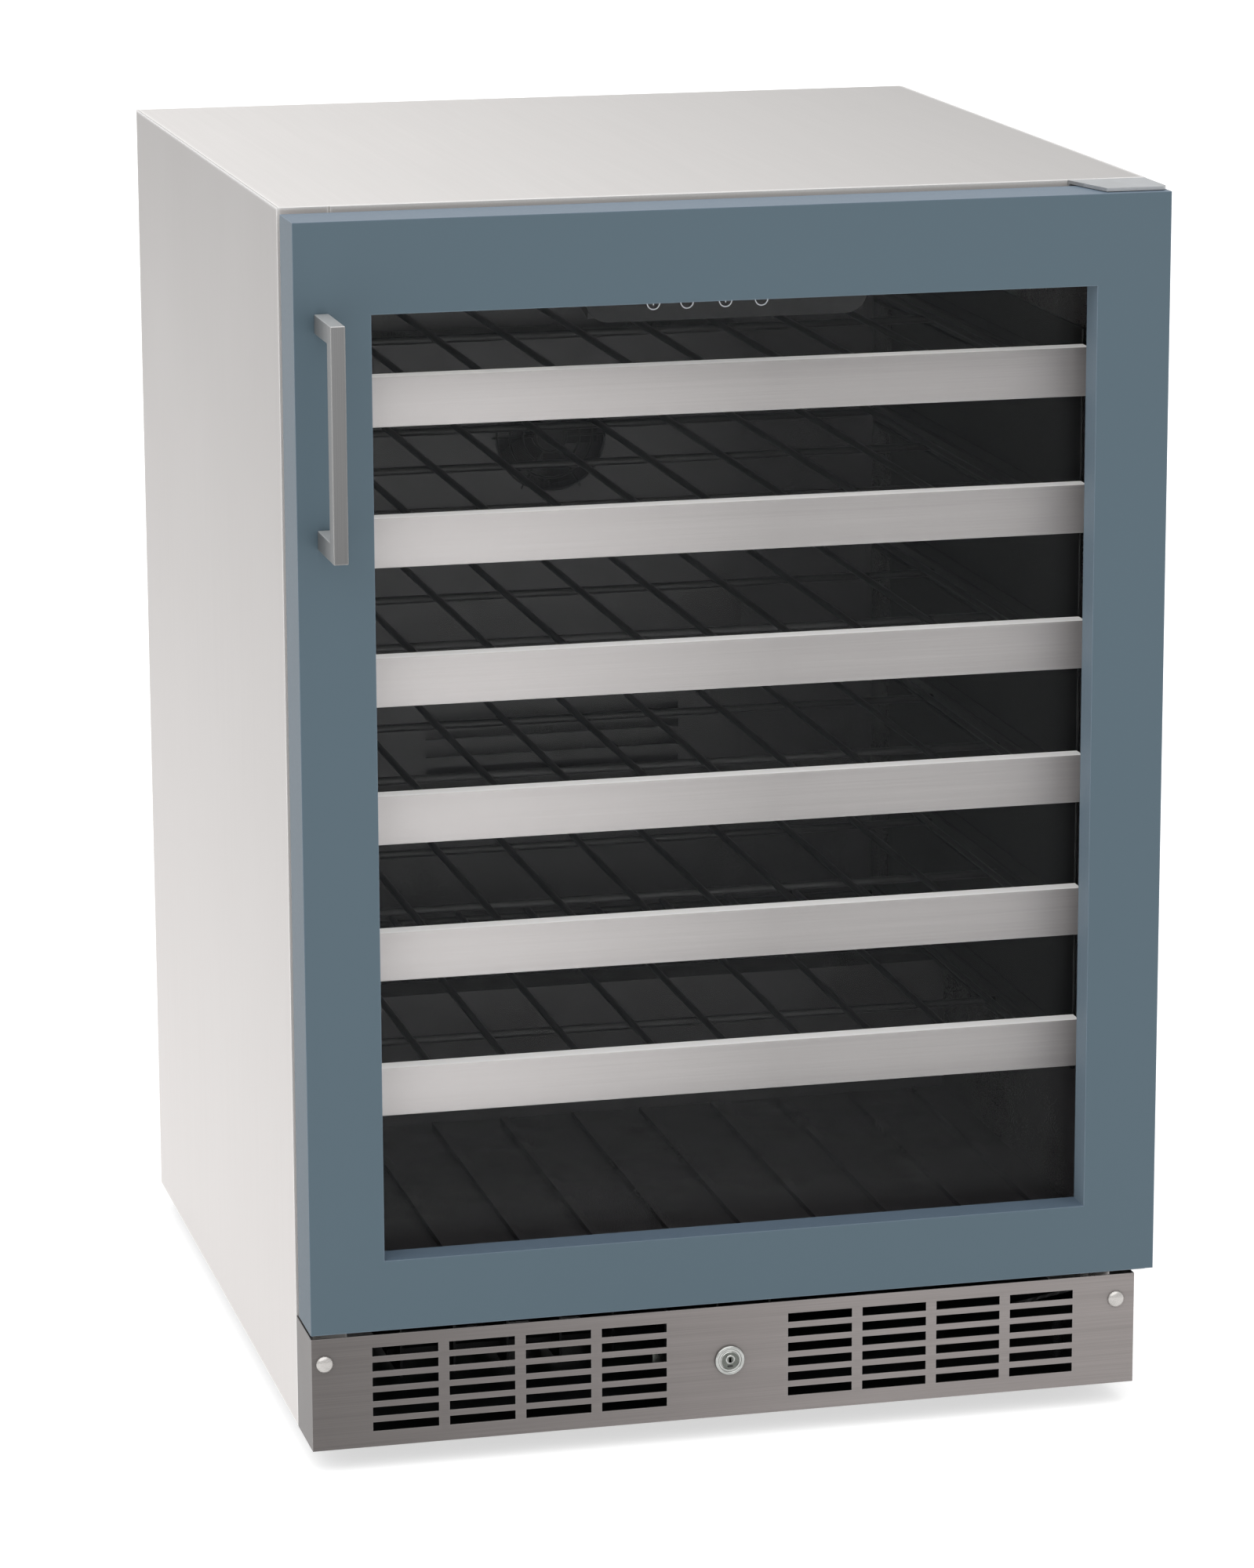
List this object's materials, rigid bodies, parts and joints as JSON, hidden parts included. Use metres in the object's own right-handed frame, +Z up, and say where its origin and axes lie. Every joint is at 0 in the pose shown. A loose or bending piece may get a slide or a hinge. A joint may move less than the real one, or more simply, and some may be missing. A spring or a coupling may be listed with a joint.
{
  "type": "wine cooler",
  "caption": "Undercounter wine cooler with a steel cabinet, a glazed painted door on a right-hand hinge, pull-out bottle shelves, a slotted kick plate with a cam lock, and levelling feet.",
  "frame": {"origin": "centre of the whole object's footprint, at floor level", "axes": "+Z up; the door faces -Y; -X is the handle side and +X the hinge side"},
  "size_m": [0.6, 0.7, 0.859],
  "materials": {
    "cabinet_steel": "pale satin steel sheet with a faint vertical grain",
    "zinc_steel": "dull zinc-plated steel",
    "foam": "rigid foam",
    "black_liner": "smooth black liner with a soft shine",
    "black_plastic": "fine-textured black plastic",
    "foot_plastic": "hard black plastic",
    "brushed_kick": "steel brushed along its length",
    "screw_steel": "turned steel",
    "lock_chrome": "polished",
    "gloss_black": "gloss black touch panel",
    "lamp": "milky diffuser over light-emitting diodes",
    "fins": "thin aluminium fins",
    "black_paint": "black enamel",
    "copper": "drawn copper tube",
    "door_paint": "slate blue-grey satin paint",
    "glass": "clear low-emissivity glass with a grey-green edge",
    "gasket_rubber": "soft dark magnetic seal",
    "handle_aluminium": "satin anodised, brushed along the bar",
    "shelf_steel": "steel brushed along the shelf front, with a bright folded edge",
    "rack_wire": "black coated wire"
  },
  "bodies": {
    "cabinet": {"side_panel_left": "cabinet_steel", "side_panel_right": "cabinet_steel", "top_panel": "cabinet_steel", "front_rail": "cabinet_steel", "back_panel": "zinc_steel", "machine_bay_cover": "zinc_steel", "hinge_bracket_top": "zinc_steel", "hinge_bracket_bottom": "zinc_steel", "condenser_fan_motor": "zinc_steel", "insulation_foam": "foam", "liner_left": "black_liner", "liner_right": "black_liner", "liner_top": "black_liner", "liner_back": "black_liner", "liner_floor": "black_liner", "liner_step": "black_liner", "evaporator_cover": "black_liner", "shelf_rail_left": "black_plastic", "shelf_rail_right": "black_plastic", "control_housing": "black_plastic", "cord_gland": "black_plastic", "drain_pan": "black_plastic", "kick_plate": "brushed_kick", "kick_screw_left": "screw_steel", "kick_screw_right": "screw_steel", "lock_barrel": "lock_chrome", "control_face": "gloss_black", "light_strip": "lamp", "evaporator_coil": "fins", "compressor": "black_paint", "base_pan": "black_paint", "condenser_coil": "black_paint", "refrigerant_pipe": "copper"},
    "door": {"door_frame": "door_paint", "glass_outer": "glass", "glass_spacer": "black_paint", "glass_inner": "glass", "glass_retainer": "black_plastic", "door_gasket": "gasket_rubber", "handle": "handle_aluminium"},
    "shelf_1": {"shelf_1_front": "shelf_steel", "shelf_1_rack": "rack_wire"},
    "shelf_2": {"shelf_2_front": "shelf_steel", "shelf_2_rack": "rack_wire"},
    "shelf_3": {"shelf_3_front": "shelf_steel", "shelf_3_rack": "rack_wire"},
    "shelf_4": {"shelf_4_front": "shelf_steel", "shelf_4_rack": "rack_wire"},
    "shelf_5": {"shelf_5_front": "shelf_steel", "shelf_5_rack": "rack_wire"},
    "shelf_6": {"shelf_6_front": "shelf_steel", "shelf_6_rack": "rack_wire"},
    "lock": {"lock_plug": "lock_chrome"},
    "foot_front_left": {"foot_front_left": "foot_plastic"},
    "foot_front_right": {"foot_front_right": "foot_plastic"},
    "foot_rear_left": {"foot_rear_left": "foot_plastic"},
    "foot_rear_right": {"foot_rear_right": "foot_plastic"},
    "condenser_fan": {"condenser_fan": "black_plastic"},
    "evaporator_fan": {"evaporator_fan": "black_plastic"}
  },
  "joints": [
    {"name": "door_hinge", "type": "hinge", "parent": "cabinet", "child": "door", "pos_m": [0.288, -0.272, 0], "axis": [0, 0, 1], "range_deg": [0, 110]},
    {"name": "shelf_1_slide", "type": "slide", "parent": "cabinet", "child": "shelf_1", "axis": [0, -1, 0], "range_m": [0, 0.01]},
    {"name": "shelf_2_slide", "type": "slide", "parent": "cabinet", "child": "shelf_2", "axis": [0, -1, 0], "range_m": [0, 0.01]},
    {"name": "shelf_3_slide", "type": "slide", "parent": "cabinet", "child": "shelf_3", "axis": [0, -1, 0], "range_m": [0, 0.01]},
    {"name": "shelf_4_slide", "type": "slide", "parent": "cabinet", "child": "shelf_4", "axis": [0, -1, 0], "range_m": [0, 0.01]},
    {"name": "shelf_5_slide", "type": "slide", "parent": "cabinet", "child": "shelf_5", "axis": [0, -1, 0], "range_m": [0, 0.01]},
    {"name": "shelf_6_slide", "type": "slide", "parent": "cabinet", "child": "shelf_6", "axis": [0, -1, 0], "range_m": [0, 0.01]},
    {"name": "lock_turn", "type": "hinge", "parent": "cabinet", "child": "lock", "pos_m": [-0.007, -0.28, 0.057], "axis": [0, 1, 0], "range_deg": [0, 90]},
    {"name": "foot_front_left_level", "type": "slide", "parent": "cabinet", "child": "foot_front_left", "axis": [0, 0, -1], "range_m": [0, 0.025]},
    {"name": "foot_front_right_level", "type": "slide", "parent": "cabinet", "child": "foot_front_right", "axis": [0, 0, -1], "range_m": [0, 0.025]},
    {"name": "foot_rear_left_level", "type": "slide", "parent": "cabinet", "child": "foot_rear_left", "axis": [0, 0, -1], "range_m": [0, 0.025]},
    {"name": "foot_rear_right_level", "type": "slide", "parent": "cabinet", "child": "foot_rear_right", "axis": [0, 0, -1], "range_m": [0, 0.025]},
    {"name": "condenser_fan_spin", "type": "hinge", "parent": "cabinet", "child": "condenser_fan", "pos_m": [-0.11, 0.168, 0.104], "axis": [0, 1, 0], "continuous": true},
    {"name": "evaporator_fan_spin", "type": "hinge", "parent": "cabinet", "child": "evaporator_fan", "pos_m": [0, 0.277, 0.61], "axis": [0, 1, 0], "continuous": true}
  ]
}
